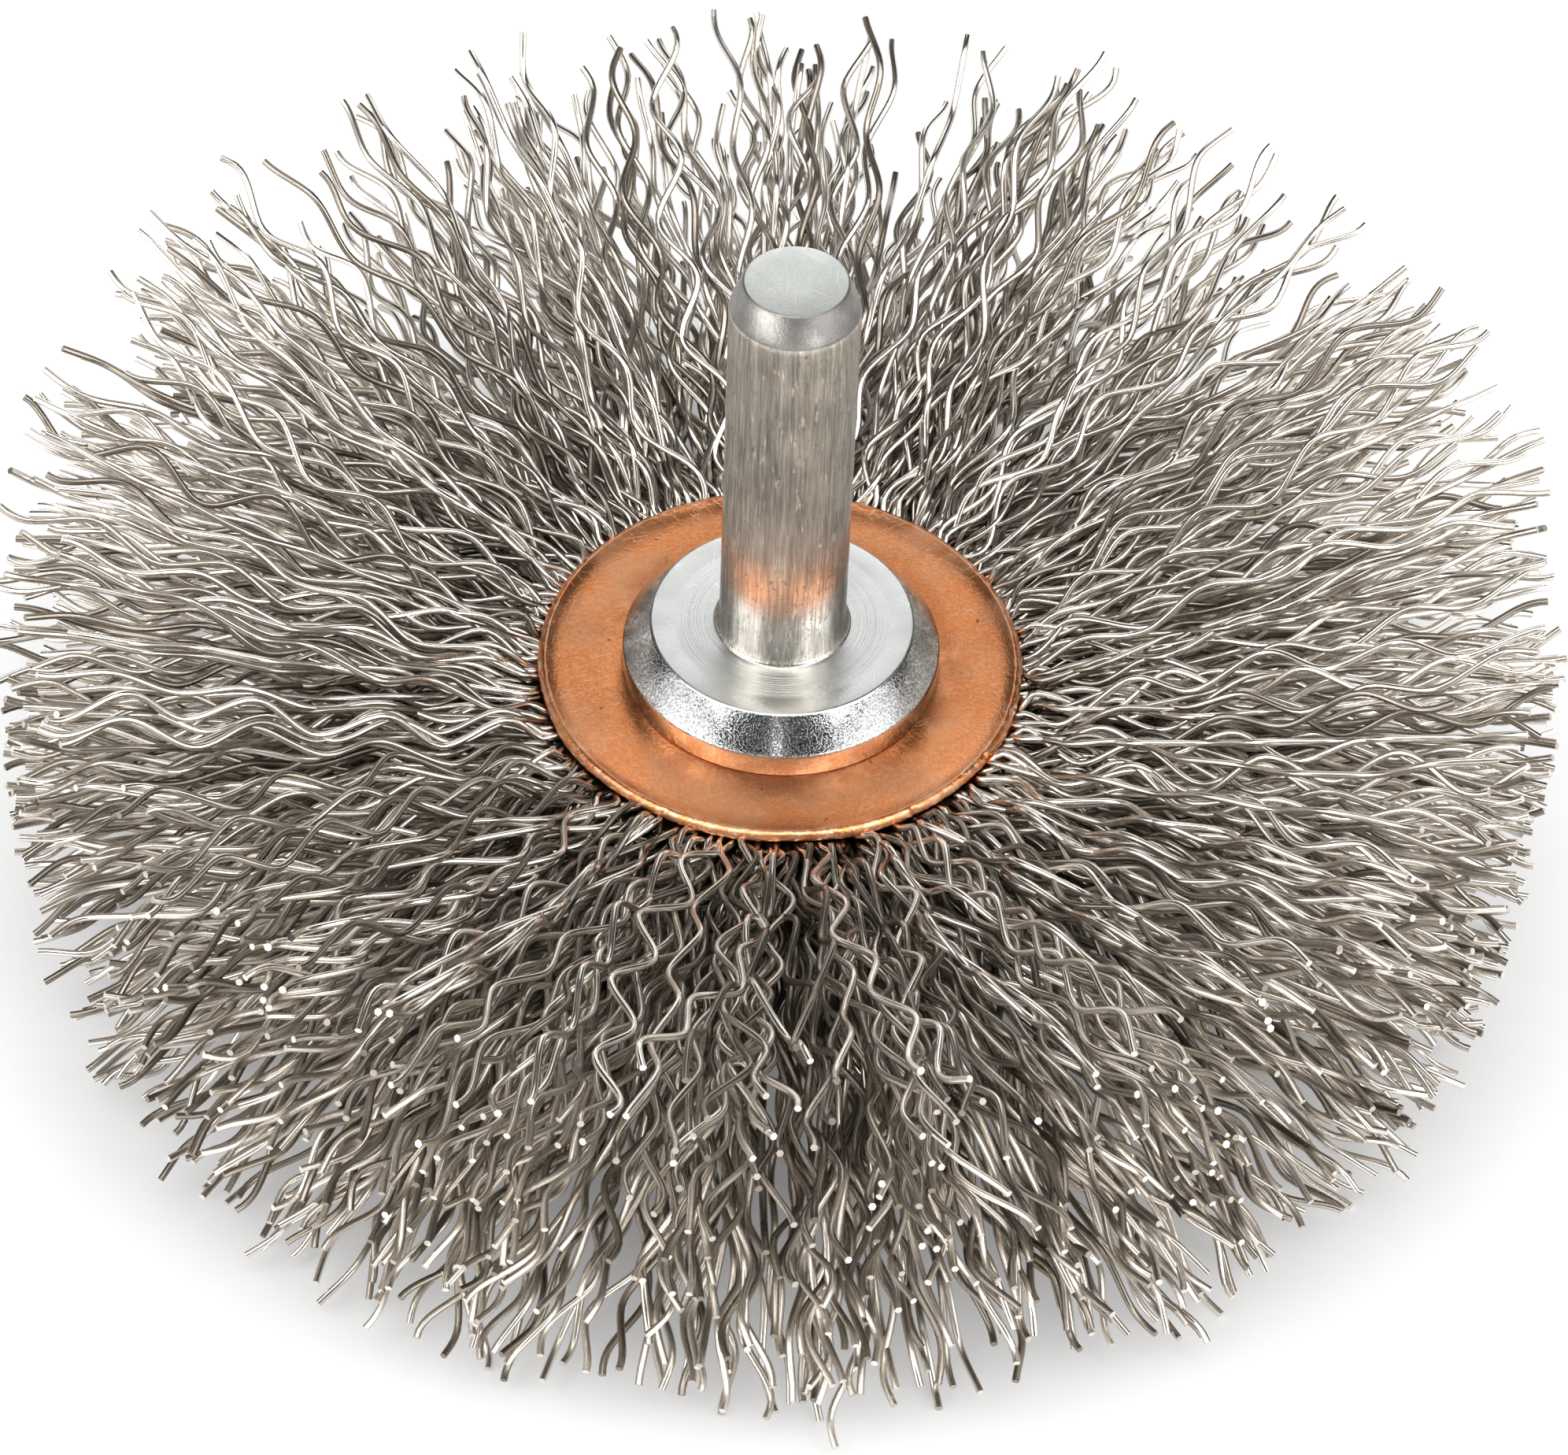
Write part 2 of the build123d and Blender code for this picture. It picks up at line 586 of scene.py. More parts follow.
@dataclass(frozen=True)
class CopperPlate:
    """Thin copper on pressed steel: glossy satin with grain, scratches, specks and worn patches,
    darker smudges round the collar's foot that are partly painted shade, and a whitish band of
    scuffs on the rim's crest that is partly a painted highlight.
    """

    base: Colour = (0.67, 0.235, 0.078)
    worn: Colour = (0.84, 0.46, 0.26)
    tarnish_and_shade: Colour = (0.42, 0.130, 0.042)
    speck: Colour = (0.16, 0.06, 0.03)
    scuff_and_highlight: Colour = (0.87, 0.58, 0.41)
    worn_share: float = 0.50
    cloud_share: float = 0.40
    grain_share: float = 0.32
    scratch_share: float = 0.4
    speck_share: float = 0.8
    rim_scuff_and_highlight_share: float = 0.40
    smudge_and_shade_share: float = 0.55
    worn_relief: float = 0.9
    roughness: tuple[float, float] = (0.30, 0.44)
    depth: float = 0.005
    rim_scuff_and_highlight_from: float = 10.7
    rim_scuff_and_highlight_to: float = 11.3
    foot_from: float = 8.0
    foot_to: float = 9.6

    def build(self, fx: Effects) -> bpy.types.Material:
        """Build the material.

        Args:
            fx: The shared node groups.

        Returns:
            The material.
        """
        coat = Coat("copper_plate")
        patch = coat.effect(fx.patches, Scale=300.0, Low=0.40, High=0.68)
        cloud = coat.effect(fx.patches, Scale=170.0, Low=0.42, High=0.62)
        grain = coat.effect(fx.patches, Scale=6500.0, Detail=2.0, Low=0.35, High=0.70)
        specks = coat.effect(fx.patches, Scale=2600.0, Low=0.70, High=0.73)
        scratch = coat.effect(fx.scratches, Scale=680.0)
        rubs_and_highlight = coat.effect(fx.patches, Scale=1300.0, Low=0.42, High=0.62)
        smudge_and_shade = coat.effect(fx.patches, Scale=620.0, Low=0.42, High=0.60)
        radius = coat.effect(fx.rings, "Radius")
        # Rim band: worn scuffs on the rim's crest, partly a painted highlight where the crest
        # catches the light.
        rim = coat.span(radius, self.rim_scuff_and_highlight_from * MM, self.rim_scuff_and_highlight_to * MM)
        # Foot band: darker smudges round the collar's foot, partly painted shade where the collar
        # meets the disc.
        foot = coat.span(radius, self.foot_to * MM, self.foot_from * MM)
        colour = self.base
        for mask, share, over in (
            (patch, self.worn_share, self.worn),
            (cloud, self.cloud_share, self.tarnish_and_shade),
            (grain, self.grain_share, self.worn),
            (scratch, self.scratch_share, self.scuff_and_highlight),
            (specks, self.speck_share, self.speck),
            (coat.part(foot, smudge_and_shade), self.smudge_and_shade_share, self.tarnish_and_shade),
            (coat.part(rim, rubs_and_highlight), self.rim_scuff_and_highlight_share, self.scuff_and_highlight),
        ):
            colour = coat.mix(coat.part(mask, share), colour, over)
        coat.dress(colour, coat.ramp(patch, *self.roughness))
        height = coat.math("ADD", grain, coat.part(patch, self.worn_relief))
        coat.bump(coat.math("SUBTRACT", height, scratch), self.depth)
        return coat.material


@dataclass(frozen=True)
class DrawnWire:
    """Drawn wire: steel, dulled in places, with painted shade that grows towards the disc, painted
    light that brightens the outer tips, and a copper tint at the disc that is partly a painted
    reflection of the copper disc.
    """

    name: str
    base: Colour
    dull_and_shade: Colour
    roughness: float
    dull_roughness: float = 0.1
    dull_and_shade_share: tuple[float, float] = (0.65, 0.25)
    copper: Colour = (0.62, 0.20, 0.06)
    copper_from: float = 11.5
    copper_to: float = 12.0
    copper_ragged: float = 0.9
    tip_from: float = 24.0
    tip_to: float = 34.0
    painted_tip_light_gain: float = 1.06

    def build(self, fx: Effects) -> bpy.types.Material:
        """Build the material.

        Args:
            fx: The shared node groups.

        Returns:
            The material.
        """
        coat = Coat(self.name)
        dulled = coat.effect(fx.patches, Scale=380.0, Low=0.38, High=0.68)
        ragged = coat.effect(fx.patches, Scale=700.0, Low=0.30, High=0.70)
        radius = coat.effect(fx.rings, "Radius")
        # Copper tint near the disc: partly a painted reflection of the copper disc on the wires.
        reach = coat.math("ADD", radius, coat.part(ragged, self.copper_ragged * MM))
        steel = coat.span(reach, self.copper_from * MM, self.copper_to * MM)
        outer = coat.span(radius, self.tip_from * MM, self.tip_to * MM)
        # Painted shade: the dull patches take a larger share near the disc, so the wires darken
        # towards it.
        share = coat.part(dulled, coat.ramp(outer, *self.dull_and_shade_share))
        # Painted light: the outer tips are brightened.
        lit_tips = coat.mix(outer, self.base, brighter(self.base, self.painted_tip_light_gain))
        colour = coat.mix(steel, self.copper, coat.mix(share, lit_tips, self.dull_and_shade))
        coat.dress(colour, coat.ramp(dulled, self.roughness, self.roughness + self.dull_roughness))
        return coat.material


@dataclass
class Palette:
    """Every finish of the brush, built once."""

    fx: Effects = field(default_factory=Effects)

    def __post_init__(self) -> None:
        """Build the materials."""
        fx = self.fx
        plain = TurnedFace("plain_steel", (0.50, 0.50, 0.49), (0.36, 0.36, 0.35), 0.34)
        self.plain = plain.build(fx)
        faces = {
            Zone.FLAT: TurnedFace(
                "turned_flat", (0.68, 0.695, 0.68), (0.58, 0.59, 0.58), 0.26,
                ring_scale=9000.0, ring_depth=0.004, ring_reach=5.3, grain_depth=0.0012,
            ),
            Zone.BEVEL: TurnedFace(
                "turned_bevel", (0.72, 0.72, 0.71), (0.20, 0.21, 0.23), 0.09, ring_depth=0.001,
                grain_scale=8500.0, grain_depth=0.0045, grain_share=0.5, cloud_share=0.35,
            ),
            Zone.WALL: TurnedFace(
                "turned_wall", (0.70, 0.68, 0.66), (0.32, 0.30, 0.28), 0.10, grain_share=0.35
            ),
            Zone.END: TurnedFace(
                "cut_end", (0.66, 0.68, 0.65), (0.50, 0.52, 0.50), 0.32,
                ring_reach=0, grain_depth=0.0015, grain_share=0.35,
            ),
            Zone.CHAMFER: TurnedFace(
                "turned_chamfer", (0.31, 0.298, 0.277), (0.16, 0.155, 0.146), 0.40, cloud_share=0.8
            ),
        }
        self.zones = {zone: face.build(fx) for zone, face in faces.items()}
        self.zones |= {Zone.SHANK: DrawnBar().build(fx), Zone.INSIDE: self.plain}
        self.copper = CopperPlate().build(fx)
        self.wires = [
            DrawnWire("wire_bright", (0.84, 0.795, 0.735), (0.50, 0.45, 0.392), 0.17).build(fx),
            DrawnWire("wire_plain", (0.60, 0.554, 0.492), (0.25, 0.218, 0.182), 0.20).build(fx),
            DrawnWire("wire_dull", (0.30, 0.265, 0.225), (0.11, 0.092, 0.073), 0.24).build(fx),
            DrawnWire("wire_cut", (0.15, 0.141, 0.128), (0.07, 0.064, 0.056), 0.42).build(fx),
        ]


# ---- turned and pressed pieces


@dataclass
class Spindle:
    """The turned spindle: shank, collar, spigot and the head that is riveted over."""

    levels: Levels
    shank_r: float = 3.0
    shank_end_r: float = 2.4
    shank_end_chamfer: float = 1.5
    end_blend: float = 1.6
    root_flare: float = 0.30
    root_height: float = 0.75
    collar_flat_r: float = 6.25
    collar_bevel: float = 1.55
    bevel_foot: float = 0.30
    spigot_r: float = 2.5
    head_r: float = 4.3
    head_chamfer: float = 0.9
    groove_r: float = 5.15
    groove_width: float = 0.12
    groove_depth: float = 0.014
    edge: float = 0.10
    edge_reach: float = 0.05
    slack: float = 0.01
    end_normal: float = 0.9
    steps: int = 192

    def profile(self) -> list[Point]:
        """Half-section from the head's back to the shank's end.

        Returns:
            Points as radius and height.
        """
        at = self.levels
        top = at.collar_top
        groove = [
            (self.groove_r + self.groove_width, top),
            (self.groove_r, top - self.groove_depth),
            (self.groove_r - self.groove_width, top),
        ]
        flare = [
            (
                self.shank_r + self.root_flare * (1 - math.sin(turn)),
                top + self.root_height * (1 - math.cos(turn)),
            )
            for turn in (math.radians(a) for a in range(0, 91, 5))
        ]
        slope = math.atan2(at.collar_r - self.collar_flat_r, self.collar_bevel)
        foot_top = top - self.collar_bevel - self.bevel_foot * math.tan(slope / 2)
        taper = math.atan2(self.shank_r - self.shank_end_r, self.shank_end_chamfer)
        shoulder = at.shank_top - self.shank_end_chamfer - self.end_blend * math.tan(taper / 2)
        return [
            (0, at.head_back),
            (self.head_r - self.head_chamfer, at.head_back),
            (self.head_r, at.head_back + self.head_chamfer),
            (self.head_r, at.washer_back),
            (self.spigot_r, at.washer_back),
            (self.spigot_r, at.disc_top),
            (at.collar_r, at.disc_top),
            *arc((at.collar_r - self.bevel_foot, foot_top), self.bevel_foot, slope, steps=5),
            (self.collar_flat_r, top),
            *groove,
            *flare,
            *arc((self.shank_r - self.end_blend, shoulder), self.end_blend, taper, steps=4),
            (self.shank_end_r, at.shank_top),
            (0, at.shank_top),
        ]

    def model(self) -> Piece:
        """Lathe the spindle and round its edges.

        Returns:
            The piece.
        """
        piece = lathe("turned_spindle", self.profile(), self.steps)
        round_edges(piece, self.edge)
        return piece

    def zone(self, face: bpy.types.MeshPolygon) -> Zone:
        """Find the zone that a face lies in, by its place and normal.

        Args:
            face: The face.

        Returns:
            Its zone.
        """
        at, z = self.levels, face.center.z / MM
        bevel_low = at.collar_top - self.collar_bevel
        for zone, below in (
            (Zone.INSIDE, at.disc_top - self.slack),
            (Zone.WALL, bevel_low - self.edge_reach),
            (Zone.BEVEL, at.collar_top - self.edge_reach),
            (Zone.FLAT, at.collar_top + self.slack),
        ):
            if z < below:
                return zone
        if face.normal.z > self.end_normal and z > at.shank_top - self.edge:
            return Zone.END
        return Zone.CHAMFER if z > at.shank_top - self.shank_end_chamfer else Zone.SHANK

    def dress(self, piece: Piece, palette: Palette) -> None:
        """Give each zone of the spindle its finish.

        Args:
            piece: The spindle.
            palette: The finishes.
        """
        for zone in Zone:
            piece.data.materials.append(palette.zones[zone])
        for face in piece.data.polygons:
            face.material_index = self.zone(face).value


@dataclass
class CoverDisc:
    """A pressed cover disc: flat, with a raised rim whose edge is slightly dented."""

    levels: Levels
    bore_r: float = 2.55
    rim_width: float = 1.6
    crest_in: float = 0.38
    crest_rise: float = 0.27
    crest_points: tuple[Point, ...] = (
        (0.285, -0.14), (0.152, -0.04), (0.0, 0.0), (-0.22, -0.1026), (-0.62, -0.2241)
    )
    under_drop: float = 0.06
    edge_draft: float = 0.03
    edge_thickness: float = 0.14
    edge: float = 0.05
    edge_angle: float = 24.0
    dent: float = 0.035
    dent_width: float = 0.55
    dent_fade: float = 0.5
    dent_limits: tuple[float, float] = (-0.05, 0.22)
    slow_waves: tuple[int, ...] = (2, 5, 9, 14)
    slow_rise: float = 0.6
    slow_push: float = 0.5
    quick_waves: tuple[int, int, int] = (18, 90, 12)
    quick_fall: float = 3.0
    notch_drop: float = 0.5
    notch_level: tuple[float, float] = (0.8, 0.4)
    steps: int = 720
    seed: int = 5

    def profile(self) -> list[Point]:
        """Closed half-section of the front disc.

        Returns:
            Points as radius and height.
        """
        at = self.levels
        bend = at.disc_r - self.rim_width
        crest_r, crest_z = at.disc_r - self.crest_in, at.disc_top + self.crest_rise
        edge = at.front_disc_inner + at.rim_rise
        return [
            (self.bore_r, at.front_disc_inner),
            (bend, at.front_disc_inner),
            (crest_r, edge - self.under_drop),
            (at.disc_r - self.edge_draft, edge),
            (at.disc_r, edge + self.edge_thickness),
            *((crest_r + r, crest_z + z) for r, z in self.crest_points),
            (bend, at.disc_top),
            (self.bore_r, at.disc_top),
            (self.bore_r, at.front_disc_inner),
        ]

    def model(self, name: str, front: bool) -> Piece:
        """Lathe the disc, round its edge and dent its rim.

        Args:
            name: Name of the piece.
            front: Whether it is the front disc; the back one is its mirror image.

        Returns:
            The piece.
        """
        piece = lathe(name, self.profile(), self.steps)
        round_edges(piece, self.edge, self.edge_angle)
        self._dent(piece, self.seed if front else self.seed + 1)
        if not front:
            self._mirror(piece)
        return piece

    def _dent(self, piece: Piece, seed: int) -> None:
        """Push the rim in and out a little, as the press and the wires leave it.

        Args:
            piece: The disc.
            seed: Seed of the dents.
        """
        rng = np.random.default_rng(seed)
        co = vertex_array(piece)
        r = np.hypot(co[:, 0], co[:, 1]) / MM
        theta = np.arctan2(co[:, 1], co[:, 0])
        slow, quick = np.zeros(len(co)), np.zeros(len(co))
        for count in self.slow_waves:
            slow += rng.normal() * np.sin(count * theta + rng.uniform(0, math.tau))
        for count in rng.integers(*self.quick_waves):
            quick += rng.normal() * np.sin(count * theta + rng.uniform(0, math.tau))
        level, sway = self.notch_level
        notch = np.maximum(quick / self.quick_fall, 0) ** 2 * (level + sway * slow)
        share = np.clip((r - (self.levels.disc_r - self.dent_width)) / self.dent_fade, 0, 1)
        co[:, 2] += self.dent * MM * (self.slow_rise * slow - self.notch_drop * notch) * share
        inward = np.clip(self.dent * (self.slow_push * slow + notch), *self.dent_limits) * share
        co[:, :2] *= (1 - inward / np.maximum(r, 1))[:, None]
        set_vertices(piece, co)

    def _mirror(self, piece: Piece) -> None:
        """Mirror the disc in the wheel's mid-plane.

        Args:
            piece: The disc.
        """
        co = vertex_array(piece)
        co[:, 2] = 2 * self.levels.mid * MM - co[:, 2]
        set_vertices(piece, co)
        select_only(piece)
        bpy.ops.object.mode_set(mode="EDIT")
        bpy.ops.mesh.select_all(action="SELECT")
        bpy.ops.mesh.normals_make_consistent(inside=False)
        bpy.ops.object.mode_set(mode="OBJECT")


@dataclass
class RivetWasher:
    """The washer behind the back disc, under the riveted head."""

    levels: Levels
    bore_r: float = 2.55
    chamfer: float = 0.3
    edge: float = 0.06
    steps: int = 160

    def model(self) -> Piece:
        """Lathe the washer and round its edges.

        Returns:
            The piece.
        """
        at = self.levels
        top = at.back_disc_inner - at.disc_thickness
        profile = [
            (self.bore_r, at.washer_back),
            (at.washer_r - self.chamfer, at.washer_back),
            (at.washer_r, at.washer_back + self.chamfer),
            (at.washer_r, top),
            (self.bore_r, top),
            (self.bore_r, at.washer_back),
        ]
        piece = lathe("washer_under_head", profile, self.steps)
        round_edges(piece, self.edge)
        return piece


# ---- wires


class Drift:
    """A smooth random field over the wheel, periodic round it."""

    WAVES = 12

    def __init__(
        self, rng: np.random.Generator, counts: tuple[int, int], tilt: float, run: float = 0.0
    ) -> None:
        """Draw the field's waves.

        Args:
            rng: Source of random numbers.
            counts: Fewest and most waves round the wheel.
            tilt: How fast the field changes from disc to disc.
            run: How fast it changes along a wire, in radians for each millimetre.
        """
        self.count = rng.integers(*counts, self.WAVES)
        self.tilt = rng.uniform(-tilt, tilt, self.WAVES)
        self.run = rng.uniform(-run, run, self.WAVES)
        self.start = rng.uniform(0, math.tau, self.WAVES)

    def at(
        self, theta: np.ndarray, place: np.ndarray, s: float | np.ndarray = 0.0
    ) -> np.ndarray:
        """Value of the field, with a spread of about 1.

        Args:
            theta: Angles round the wheel in radians.
            place: Places between the discs, from -1 to 1.
            s: Distances along a wire.

        Returns:
            One value for each point.
        """
        theta, place, s = (np.atleast_1d(a)[:, None] for a in (theta, place, s))
        phase = self.count * theta + self.tilt * place + self.run * s + self.start
        return np.sin(phase).sum(axis=1) * math.sqrt(2 / self.WAVES)


@dataclass(frozen=True)
class Stray:
    """How far wires stray: with their bunch, each by itself, and those that lie alone."""

    bunch: float
    own: float
    alone: float


@dataclass
class WireWheel:
    """All wires of the wheel, 1,920 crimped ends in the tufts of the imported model."""

    levels: Levels
    tufts: int = 24
    rows_per_tuft: int = 8
    layers: int = 10
    wire_r: float = 0.173
    start_r: float = 10.0
    start_spread: float = 1.56
    reach: float = 27.2
    reach_drift: float = 0.6
    reach_stray: float = 0.45
    reach_bulge: tuple[float, float] = (-0.8, 0.7)
    short_share: float = 0.07
    short_by: tuple[float, float] = (0.8, 3.0)
    trim_r: float = 37.1
    fan: tuple[float, float] = (22.0, 25.5)
    crimp_pitch: float = 6.6
    pitch_stray: float = 0.035
    crimp_rise: float = 0.63
    rise_stray: float = 0.20
    crimp_fade: float = 0.18
    crimp_sharpness: tuple[float, float] = (0.35, 0.80)
    crimp_lead: tuple[float, float] = (0.9, 2.0)
    crimp_ease: float = 1.2
    place_stray: float = 0.03
    row_stray: float = 0.16
    alone_share: float = 0.20
    phase_stray: Stray = Stray(2.4, 0.45, 3.0)
    roll_stray: Stray = Stray(1.1, 0.28, 2.0)
    lean_stray: Stray = Stray(3.0, 2.2, 7.0)
    fan_stray: Stray = Stray(0.0, 1.3, 3.0)
    twist_stray: float = 0.30
    tone_stray: float = 0.7
    tone_shares: tuple[float, float] = (0.44, 0.80)
    splay: tuple[float, float] = (9.0, 5.5)
    settle_run: float = 0.8
    lift: float = 3.0
    step: float = 0.36
    seed: int = 21

    def __post_init__(self) -> None:
        """Draw every wire's place, crimp, length and tone."""
        rng = np.random.default_rng(self.seed)
        rows = self.tufts * self.rows_per_tuft
        grid = np.meshgrid(np.arange(rows), np.arange(self.layers), indexing="ij")
        row, layer = (numbers.ravel() for numbers in grid)
        total = row.size
        self.tuft = row // self.rows_per_tuft
        self.place = (layer + 0.5) / self.layers * 2 - 1 + rng.normal(0, self.place_stray, total)
        shift = 0.5 * (layer % 2) + 0.5 + rng.normal(0, self.row_stray, total)
        self.theta = (row + shift) * math.tau / rows
        self.sway = Drift(rng, (8, 52), tilt=4.0, run=0.42)
        self.wave = Drift(rng, (8, 40), tilt=4.0, run=0.30)
        bunch = [Drift(rng, (6, 36), tilt=3.4).at(self.theta, self.place) for _ in range(4)]
        alone = rng.random(total) < self.alone_share
        stray = self.phase_stray
        self.phase = stray.bunch * bunch[0] + rng.normal(0, stray.own, total)
        self.phase += alone * rng.uniform(-stray.alone, stray.alone, total)
        stray = self.roll_stray
        self.roll = stray.bunch * bunch[1] + rng.normal(0, stray.own, total)
        self.roll += alone * rng.uniform(-stray.alone, stray.alone, total)
        stray = self.lean_stray
        self.lean = stray.bunch * bunch[3] + rng.normal(0, stray.own, total)
        self.lean += alone * rng.normal(0, stray.alone, total)
        stray = self.fan_stray
        self.rise = np.where(self.place < 0, *self.fan) * self.place
        self.rise += rng.normal(0, stray.own, total)
        self.rise += alone * rng.normal(0, stray.alone, total)
        length = self.reach + self.reach_drift * bunch[2] + rng.normal(0, self.reach_stray, total)
        length += np.where(self.place < 0, *self.reach_bulge) * self.place**2
        cut_short = rng.random(total) < self.short_share
        self.length = length - np.where(cut_short, rng.uniform(*self.short_by, total), 0)
        self.pitch = self.crimp_pitch * (1 + rng.normal(0, self.pitch_stray, total))
        self.crest = self.crimp_rise * (1 + rng.normal(0, self.rise_stray, total))
        self.lead = rng.uniform(*self.crimp_lead, total)
        tone = Drift(rng, (20, 70), tilt=4.0).at(self.theta, self.place)
        tone += rng.normal(0, self.tone_stray, total)
        self.tone = np.digitize(tone, np.quantile(tone, self.tone_shares))
        self.twist = rng.normal(0, self.twist_stray, total)
        self.sharpness = rng.uniform(*self.crimp_sharpness, total)

    def line(self, wire: int) -> np.ndarray:
        """Centre line of one wire.

        Args:
            wire: Number of the wire.

        Returns:
            Points in metres, one row each.
        """
        run = self.length[wire]
        s = np.linspace(0, run, round(run / self.step) + 1)
        share = s / run
        theta, place = self.theta[wire], self.place[wire]
        settle = 1 - np.exp(-s / self.settle_run)
        near, far = self.splay
        sway = (near + (far - near) * share) * self.sway.at(theta, place, s)
        lean = np.radians(sway + self.lean[wire]) * settle
        lift = self.lift * self.wave.at(theta, place, s) * share
        rise = np.radians(self.rise[wire] + lift) * settle
        out = np.array([math.cos(theta), math.sin(theta), 0.0])
        side = np.array([-math.sin(theta), math.cos(theta), 0.0])
        ahead = (
            (np.cos(rise) * np.cos(lean))[:, None] * out
            + (np.cos(rise) * np.sin(lean))[:, None] * side
            + np.sin(rise)[:, None] * np.array([0.0, 0.0, 1.0])
        )
        steps = (ahead[1:] + ahead[:-1]) / 2 * np.diff(s)[:, None]
        start_z = self.levels.mid + place * self.start_spread
        start = out * self.start_r + np.array([0.0, 0.0, start_z])
        axis = start + np.vstack([np.zeros(3), np.cumsum(steps, axis=0)])
        across = np.cross(ahead, side)
        roll = self.roll[wire] + self.twist[wire] * share
        swing = np.cos(roll)[:, None] * side + np.sin(roll)[:, None] * across
        turn = math.tau * s / self.pitch[wire] + self.phase[wire]
        sharp = self.sharpness[wire]
        crest = np.arcsin(sharp * np.sin(turn)) / math.asin(sharp)
        ease = np.clip((s - self.lead[wire]) / self.crimp_ease, 0, 1)
        ease = ease * ease * (3 - 2 * ease)
        height = self.crest[wire] * (1 - self.crimp_fade * share) * ease
        points = axis + swing * (height * crest)[:, None]
        points[:, 2] = np.maximum(points[:, 2], self.wire_r)
        kept = np.hypot(points[:, 0], points[:, 1]) < self.trim_r
        return points[kept] * MM

    def model(self, tuft: int, palette: Palette) -> Piece:
        """Sweep one tuft's wires and make them a mesh.

        Args:
            tuft: Number of the tuft, from 0.
            palette: The finishes.

        Returns:
            The piece.
        """
        name = f"crimped_tuft_{tuft + 1:02d}"
        curve = bpy.data.curves.new(name, "CURVE")
        curve.dimensions = "3D"
        curve.bevel_depth = self.wire_r * MM
        curve.bevel_resolution = 1
        curve.use_fill_caps = True
        for material in palette.wires:
            curve.materials.append(material)
        for wire in np.flatnonzero(self.tuft == tuft):
            points = self.line(wire)
            spline = curve.splines.new("POLY")
            spline.points.add(len(points) - 1)
            rows = np.column_stack([points, np.ones(len(points))])
            spline.points.foreach_set("co", rows.ravel())
            spline.material_index = int(self.tone[wire])
            spline.use_smooth = True
        piece = bpy.data.objects.new(name, curve)
        bpy.context.collection.objects.link(piece)
        select_only(piece)
        bpy.ops.object.convert(target="MESH")
        bpy.ops.object.shade_smooth_by_angle(angle=WIRE_SMOOTH_BELOW)
        piece = bpy.context.active_object
        for face in piece.data.polygons:
            if face.loop_total > SIDE_CORNERS:
                face.material_index = len(palette.wires) - 1
        return piece


# ---- studio


@dataclass
class Camera:
    """The photograph's camera, fitted to the shank, the collar and the disc."""

    levels: Levels
    focal_px: float = 6886.69
    back: float = 180.82
    above_collar: float = 182.4967
    yaw: float = 0.0017
    pitch: float = 0.8099
    roll: float = 0.0437

    def place(self) -> None:
        """Add the camera and make it the scene's own. Its angles are in radians."""
        reach, drop = math.cos(self.pitch), math.sin(self.pitch)
        ahead = Vector((math.sin(self.yaw) * reach, math.cos(self.yaw) * reach, -drop))
        level = Vector((math.cos(self.yaw), -math.sin(self.yaw), 0))
        upright = level.cross(ahead)
        right = math.cos(self.roll) * level + math.sin(self.roll) * upright
        up = -math.sin(self.roll) * level + math.cos(self.roll) * upright
        turn = Matrix((right, up, -ahead)).transposed().to_4x4()
        data = bpy.data.cameras.new("photo_camera")
        data.sensor_fit = "HORIZONTAL"
        data.sensor_width = SENSOR_WIDTH
        data.lens = self.focal_px * SENSOR_WIDTH / PHOTO_WIDTH_PX
        data.clip_start = 0.01
        camera = bpy.data.objects.new("photo_camera", data)
        stand = Vector((0, -self.back, self.above_collar + self.levels.collar_top)) * MM
        camera.matrix_world = Matrix.Translation(stand) @ turn
        bpy.context.collection.objects.link(camera)
        bpy.context.scene.camera = camera


@dataclass(frozen=True)
class Softbox:
    """A rectangular lamp that points at the brush. Its sizes and distance are metres."""

    name: str
    azimuth: float
    elevation: float
    width: float
    height: float
    level: float
    distance: float = 0.45

    def hang(self) -> None:
        """Add the lamp. Its level is its brightness, where 1 is white."""
        data = bpy.data.lights.new(self.name, "AREA")
        data.shape = "RECTANGLE"
        data.size, data.size_y = self.width, self.height
        data.energy = self.level * math.pi * self.width * self.height
        lamp = bpy.data.objects.new(self.name, data)
        turn, tilt = math.radians(self.azimuth), math.radians(self.elevation)
        reach = math.cos(tilt)
        away = Vector((math.sin(turn) * reach, -math.cos(turn) * reach, math.sin(tilt)))
        lamp.location = away * self.distance
        lamp.rotation_euler = away.to_track_quat("Z", "Y").to_euler()
        bpy.context.collection.objects.link(lamp)


